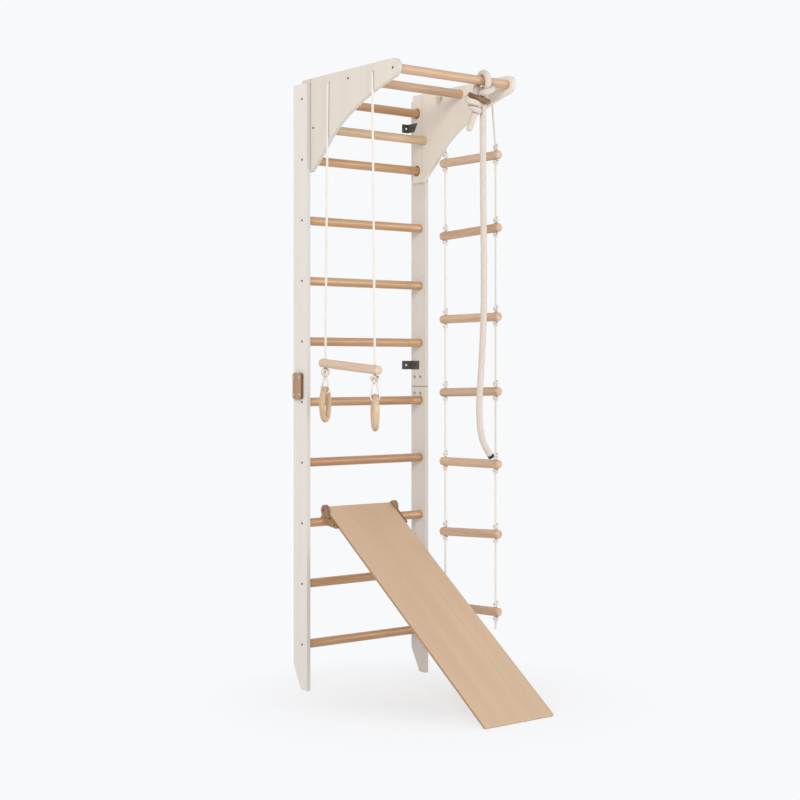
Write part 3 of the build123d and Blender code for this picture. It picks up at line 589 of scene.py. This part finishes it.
for name, node in frame["nodes"].items():
    finish = finish_for(name)
    if not node.material_slots:
        node.data.materials.append(finish)
    for material_slot in node.material_slots:
        material_slot.material = finish

# ---- climbing rope ------------------------------------------------------------------------
ROPE_X, ROPE_Y, BAR_Z = JOINTS["climbing_rope_swing"]["pos_m"]
HITCH_DROP = 97 * MM
ROPE_TOP = BAR_Z - HITCH_DROP
# offset along X and depth below the hitch in mm, as in the part's own route
ROPE_ROUTE = [(0, 0), (0, 246), (5, 556), (5.5, 806), (-7, 996), (-19, 1126), (-18, 1211),
              (-9, 1272), (10, 1316), (40, 1351)]
route = [(ROPE_X + dx * MM, ROPE_Y, ROPE_TOP - drop * MM) for dx, drop in ROPE_ROUTE]
rope_line = nurbs_line(route, resolution=24)
climbing_rope = piece(
    "climbing_rope_braid", [rope_rings(rope_line, THICK_R, THICK_CELLS, caps=False)],
    thick_rope, "climbing_rope_body")
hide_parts("climbing_rope")


def hitch_point(dx, dy, drop):
    """A place by its offsets from the bar's axis above the rope, in mm; drop is downwards."""
    return (ROPE_X + dx * MM, ROPE_Y + dy * MM, BAR_Z - drop * MM)


# the hitch: a turn over the bar, a wrap under it, and the running end locked by the toggle
HITCH_LINES = [
    # up in front of the bar, over it and down behind
    [(0, 0, 112), (0, 8, 92), (0, 4, 74), (0, -14, 52), (0, -29, 28), (0, -32, 2),
     (0, -22, -22), (1, 0, -34), (2, 22, -22), (3, 32, 0), (-6, 30, 22), (-20, 20, 42),
     (-24, 12, 60), (-38, 6, 76), (-54, 2, 90)],
    # the wrap round both strands
    [(-22, -6, 51), (-18, -28, 52), (2, -42, 43), (20, -34, 34), (33, -12, 27), (33, 12, 25),
     (16, 29, 30), (-8, 28, 41)],
    # the running end: two turns round the tail
    [(-30, 4, 64), (-60, 6, 68), (-86, -2, 76), (-92, -16, 87), (-78, -25, 91), (-58, -27, 95),
     (-34, -17, 101), (-30, 0, 104), (-46, 8, 98), (-62, 2, 102), (-67, -10, 110), (-54, -21, 118),
     (-34, -16, 121), (-24, -2, 118)],
    # the tail
    [(-36, -2, 104), (-43, -4, 126), (-54, -4, 150), (-66, -4, 176), (-77, -4, 201)],
]
# the stretches after the first are a touch thinner
LATER_STRETCH = 0.96
hitch_parts = []
for index, stretch in enumerate(HITCH_LINES):
    line = nurbs_line([hitch_point(*p) for p in stretch])
    hitch_parts.append(rope_rings(line, THICK_R * (LATER_STRETCH if index else 1.0), THICK_CELLS))
hitch = piece("climbing_rope_hitch", hitch_parts, thick_rope, "climbing_rope_body")
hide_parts("climbing_rope_knot")

low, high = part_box("toggle_peg")
TOGGLE_R = 11 * MM
# the peg leans, so its box is longer than its axis
TOGGLE_SLACK = 0.2 * TOGGLE_R
toggle_axis = Vector((high[0] - low[0] - TOGGLE_SLACK, 0,
                      -(high[2] - low[2] - 2 * TOGGLE_R))).normalized()
toggle_middle = (Vector(low) + Vector(high)) / 2
half = (high[0] - low[0]) / 2 - TOGGLE_SLACK
# distance along the peg and share of its radius
TOGGLE_PROFILE = [
    (-half, 0.55), (-half + 0.001, 0.76), (-half + 0.003, 0.88), (-half + 0.010, 0.94),
    (-half + 0.017, 0.86), (-half * 0.5, 0.80), (-half * 0.2, 0.85), (0, 0.82),
    (half * 0.3, 0.86), (half * 0.55, 0.84), (half - 0.016, 0.94), (half - 0.009, 1.0),
    (half - 0.003, 0.94), (half - 0.001, 0.80), (half, 0.6)]
turned = lathe([(a, r * TOGGLE_R) for a, r in TOGGLE_PROFILE], toggle_middle, toggle_axis)
toggle = piece("toggle_peg_turned", [turned], toggle_wood, "climbing_rope_body")
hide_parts("toggle_peg")

rope_end = Vector(rope_line[-1])
end_axis = (Vector(rope_line[-1]) - Vector(rope_line[-3])).normalized()
CAP_R = 13 * MM
CAP_PROFILE = [(-0.006, 0.985), (-0.0055, 1.0), (0.005, 1.0), (0.0068, 0.95), (0.007, 0.86),
               (0.0055, 0.82), (0.0052, 0.3)]
moulded = lathe([(a, r * CAP_R) for a, r in CAP_PROFILE], rope_end, end_axis)
end_cap = piece("rope_end_cap_moulded", [moulded], black_rubber, "climbing_rope_body")
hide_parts("rope_end_cap")


# ---- thin ropes ----------------------------------------------------------------------------
KNOT_DEPTH = 3.4 * MM


def knot_parts(centre, turn, size=2.75 * MM, radius=THIN_R, tall=1.16):
    """A tight overhand knot in one rope."""
    line = trefoil(centre, size, KNOT_DEPTH, turn, tall=tall)
    return rope_rings(line, radius, THIN_CELLS, closed=True)


def knot_end(knot_at):
    """The short cut end that sticks up out of a knot."""
    reach = [(0, 0, 0), (3, -5, 8), (5, -9, 17)]
    line = nurbs_line([(knot_at[0] + x * MM, knot_at[1] + y * MM, knot_at[2] + z * MM)
                       for x, y, z in reach])
    return rope_rings(line, THIN_R * 0.8, THIN_CELLS)


random.seed(7)
# the places along Y where the ropes are tied in the gussets, rear and front
TIES = (-0.217, -0.502)
GUSSET_FACE = abs(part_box("left_gusset")[1][0])
WALL_FACE = abs(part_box("left_gusset")[0][0])
tie_parts = []
for side in (-1, 1):
    for y in TIES:
        knot_x = side * (GUSSET_FACE - 12 * MM)
        pivot_x = side * abs(JOINTS["trapeze_swing"]["pos_m"][0])
        knot_at = Vector((knot_x - side * 1.5 * MM, y, BAR_Z))
        tie_parts.append(knot_parts(knot_at, math.radians(90 + random.uniform(-25, 25)),
                                    size=3.5 * MM, radius=4.9 * MM, tall=1.0))
        bend = nurbs_line([(knot_x, y, BAR_Z), (side * WALL_FACE, y, BAR_Z),
                           (pivot_x, y, BAR_Z), (pivot_x, y, BAR_Z - 3 * MM)])
        tie_parts.append(rope_rings(bend, THIN_R * 0.98, THIN_CELLS))
        # the short tail of the knot
        tail = nurbs_line([(knot_x, y, BAR_Z), (knot_x - side * 7 * MM, y - 3 * MM, BAR_Z - 9 * MM),
                           (knot_x - side * 8 * MM, y - 4 * MM, BAR_Z - 20 * MM)])
        tie_parts.append(rope_rings(tail, THIN_R * 0.95, THIN_CELLS))
ties = piece("rope_ties_knotted", tie_parts, tie_rope, "frame")
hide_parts("rope_ties")

# trapeze: two ropes, each ending in a thick knot from which a ring's loop hangs
trapeze_pivot = JOINTS["trapeze_swing"]["pos_m"]
low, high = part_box("trapeze_bar")
TRAPEZE_R = 17 * MM
bar_middle = (Vector(low) + Vector(high)) / 2
TRAPEZE_LEAN = math.radians(4.4)
ROPE_SPAN = 320 * MM
TRAPEZE_KNOT_R = 18 * MM
RING_DROP = 38 * MM
RING_BAR = 22 * MM
LOOP_POINTS = 26
for ring, way, tie_y in (("ring_rear", 1, TIES[0]), ("ring_front", -1, TIES[1])):
    seat = Vector((trapeze_pivot[0], bar_middle.y + way * math.cos(TRAPEZE_LEAN) * ROPE_SPAN / 2,
                   bar_middle.z + way * math.sin(TRAPEZE_LEAN) * ROPE_SPAN / 2))
    top = Vector((trapeze_pivot[0], tie_y, trapeze_pivot[2]))
    knot_at = seat - Vector((0, 0, TRAPEZE_R + SOFT_GAP + TRAPEZE_KNOT_R))
    run = rope_rings(np.array([top, knot_at]), THIN_R, THIN_CELLS)
    rope = piece(f"trapeze_rope_{ring[5:]}", [run], thin_rope, "trapeze")
    if way == 1:
        # a coiled knot
        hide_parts("trapeze_ropes")
        coil = button(knot_at, 13.2 * MM, 9.8 * MM, math.radians(-38))
        wound = [rope_rings(coil, 4.9 * MM, THIN_CELLS)]
    else:
        # a doubled overhand knot
        doubled = [trefoil(knot_at, 4.6 * MM, 4.0 * MM, math.radians(-20), shift=s, tall=0.95)
                   for s in (-4.6 * MM, 4.6 * MM)]
        wound = [rope_rings(line, 5.1 * MM, THIN_CELLS, closed=True) for line in doubled]
    knot = piece(f"trapeze_knot_{ring[5:]}", wound, knot_rope, "trapeze")
    if way == 1:
        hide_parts("trapeze_knots")
    # loop round the ring
    pivot = Vector(JOINTS[f"{ring}_swing"]["pos_m"])
    ring_low, ring_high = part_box(ring)
    ring_top = pivot.z - RING_DROP
    across = Vector((ring_high[1] - ring_low[1] - RING_BAR,
                     ring_low[0] - ring_high[0] + RING_BAR, 0)).normalized()
    loop_r = RING_BAR / 2 + SOFT_GAP + THIN_R
    spread = (5 if way == 1 else 9) * MM
    lift = math.asin(loop_r / RING_DROP) * 0.9
    arc = [(math.cos(a) * loop_r, math.sin(a) * loop_r) for a in
           np.linspace(lift, -math.pi - lift, LOOP_POINTS)]
    # two points on each side lead from the arc up into the knot
    flat = [(spread * 0.7, RING_DROP + 17 * MM), (spread + 1 * MM, RING_DROP - 2 * MM)] + arc + [
        (-spread - 1 * MM, RING_DROP - 2 * MM), (-spread * 0.7, RING_DROP + 17 * MM)]
    loop_line = [tuple(Vector((pivot.x, pivot.y, ring_top)) + across * a + Vector((0, 0, b)))
                 for a, b in flat]
    loop_rope = rope_rings(np.array(loop_line), THIN_R * 0.97, THIN_CELLS)
    loop = piece(f"{ring}_rope_loop", [loop_rope], thin_rope, ring)
    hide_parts(f"{ring}_loop")

# ladder: a strand with its knots on each side of every link
LADDER_SPAN = 311 * MM
LADDER_R = 17.5 * MM
LADDER_LENGTH = 357 * MM
TAIL = 16 * MM
LINKS = 7
for k in range(1, LINKS + 1):
    low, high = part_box(f"ladder_rung_{k}")
    middle = (Vector(low) + Vector(high)) / 2
    lean = math.asin(max(0.0, (high[2] - low[2] - 2 * LADDER_R) / LADDER_LENGTH))
    pivot = JOINTS[f"ladder_swing_{k}"]["pos_m"]
    gap = LADDER_R / math.cos(lean) + SOFT_GAP + KNOT_R
    seats = [Vector((middle.x, middle.y + way * LADDER_SPAN / 2,
                     middle.z - way * math.tan(lean) * LADDER_SPAN / 2)) for way in (1, -1)]
    lowest = min(seat.z for seat in seats) - gap - KNOT_R
    for seat, tie_y, label in zip(seats, TIES, ("rear", "front")):
        top = Vector((pivot[0], tie_y if k == 1 else seat.y, pivot[2]))
        upper = seat + Vector((0, 0, gap))
        lower = seat - Vector((0, 0, gap))
        below = TAIL if k == LINKS else SOFT_GAP + 2 * THIN_R
        end = Vector((seat.x, seat.y, lowest - below))
        start = top + Vector((0, 0, THIN_R if k > 1 else 0))
        line = np.array([tuple(start), tuple(upper), tuple(end)])
        strand = piece(f"ladder_rope_{k}_{label}", [rope_rings(line, THIN_R, THIN_CELLS)],
                       thin_rope, f"ladder_link_{k}")
        knots = piece(f"ladder_knots_{k}_{label}",
                      [knot_parts(upper, random.uniform(-1.2, 0.2)),
                       knot_parts(lower, random.uniform(-1.2, 0.2)),
                       knot_end(upper)],
                      thin_rope, f"ladder_link_{k}")
        if label == "rear":
            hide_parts(f"ladder_ropes_{k}")

# ---- floor, backdrop and light --------------------------------------------------------------
BACKDROP = srgb(248, 249, 251)


def camera_like(tree):
    """1 for rays from the camera, from a glossy bounce or through something clear."""
    path = tree.nodes.new("ShaderNodeLightPath")
    total = None
    for name in ("Is Camera Ray", "Is Glossy Ray", "Is Transmission Ray"):
        if total is None:
            total = path.outputs[name]
            continue
        most = add(tree, "ShaderNodeMath", operation="MAXIMUM")
        tree.links.new(total, most.inputs[0])
        tree.links.new(path.outputs[name], most.inputs[1])
        total = most.outputs[0]
    return total


world = bpy.data.worlds.new("studio")
world.use_nodes = True
bpy.context.scene.world = world
tree = world.node_tree
backdrop = tree.nodes["Background"]
backdrop.inputs["Color"].default_value = BACKDROP
ambient = add(tree, "ShaderNodeBackground", in_strength=0.56)
ambient.inputs["Color"].default_value = (1.0, 0.985, 0.97, 1.0)
chooser = tree.nodes.new("ShaderNodeMixShader")
tree.links.new(camera_like(tree), chooser.inputs[0])
tree.links.new(ambient.outputs[0], chooser.inputs[1])
tree.links.new(backdrop.outputs[0], chooser.inputs[2])
tree.links.new(chooser.outputs[0], tree.nodes["World Output"].inputs["Surface"])

FLOOR_REACH = 14.0
floor_mesh = bpy.data.meshes.new("floor")
floor_corners = [(x * FLOOR_REACH, y * FLOOR_REACH, FLOOR_Z)
                 for x, y in ((-1, -1), (1, -1), (1, 1), (-1, 1))]
floor_mesh.from_pydata(floor_corners, [], [(0, 1, 2, 3)])
floor = bpy.data.objects.new("floor", floor_mesh)
bpy.context.scene.collection.objects.link(floor)
floor_material, tree, shader = new_material("floor_pale")
shader.inputs["Base Color"].default_value = srgb(250, 250, 251)
shader.inputs["Roughness"].default_value = 0.9
shader.inputs["Specular IOR Level"].default_value = 0.1
# for the camera the floor turns into the backdrop with the distance from its middle, in metres
FLOOR_MIDDLE_Y = -0.5
FADE_END = 0.9
glow = add(tree, "ShaderNodeEmission", in_strength=1.0)
glow.inputs["Color"].default_value = BACKDROP
coords = tree.nodes.new("ShaderNodeTexCoord")
centre = add(tree, "ShaderNodeMapping")
centre.inputs["Location"].default_value = (0, -FLOOR_MIDDLE_Y, -FLOOR_Z)
tree.links.new(coords.outputs["Object"], centre.inputs["Vector"])
far = add(tree, "ShaderNodeVectorMath", operation="LENGTH")
tree.links.new(centre.outputs["Vector"], far.inputs[0])
fade = ramp(tree, far.outputs["Value"], [(0.0, grey(0.5)), (FADE_END, grey(1.0))])
reach = add(tree, "ShaderNodeMath", operation="MULTIPLY")
tree.links.new(fade, reach.inputs[0])
tree.links.new(camera_like(tree), reach.inputs[1])
blend = tree.nodes.new("ShaderNodeMixShader")
tree.links.new(reach.outputs[0], blend.inputs[0])
tree.links.new(shader.outputs[0], blend.inputs[1])
tree.links.new(glow.outputs[0], blend.inputs[2])
tree.links.new(blend.outputs[0], tree.nodes["Material Output"].inputs["Surface"])
floor_mesh.materials.append(floor_material)


def area_light(name, place, target, size, power, colour):
    """A soft rectangular lamp; size is its width and its height."""
    data = bpy.data.lights.new(name, "AREA")
    data.shape = "RECTANGLE"
    data.size, data.size_y = size
    data.energy = power
    data.color = colour
    light = bpy.data.objects.new(name, data)
    light.location = place
    light.rotation_euler = (Vector(target) - Vector(place)).to_track_quat("-Z", "Y").to_euler()
    bpy.context.scene.collection.objects.link(light)


MIDDLE = (0, -0.4, -0.5)
area_light("key", (-5.2, -5.0, 2.2), MIDDLE, (3.2, 3.2), 250, (1.0, 0.99, 0.975))
area_light("fill", (3.9, -5.2, 0.9), MIDDLE, (2.8, 2.8), 70, (1.0, 0.995, 0.99))
area_light("strip", (3.87, -5.2, 0.3), MIDDLE, (0.5, 1.7), 45, (1.0, 0.995, 0.99))

bpy.context.scene.view_settings.view_transform = "Standard"
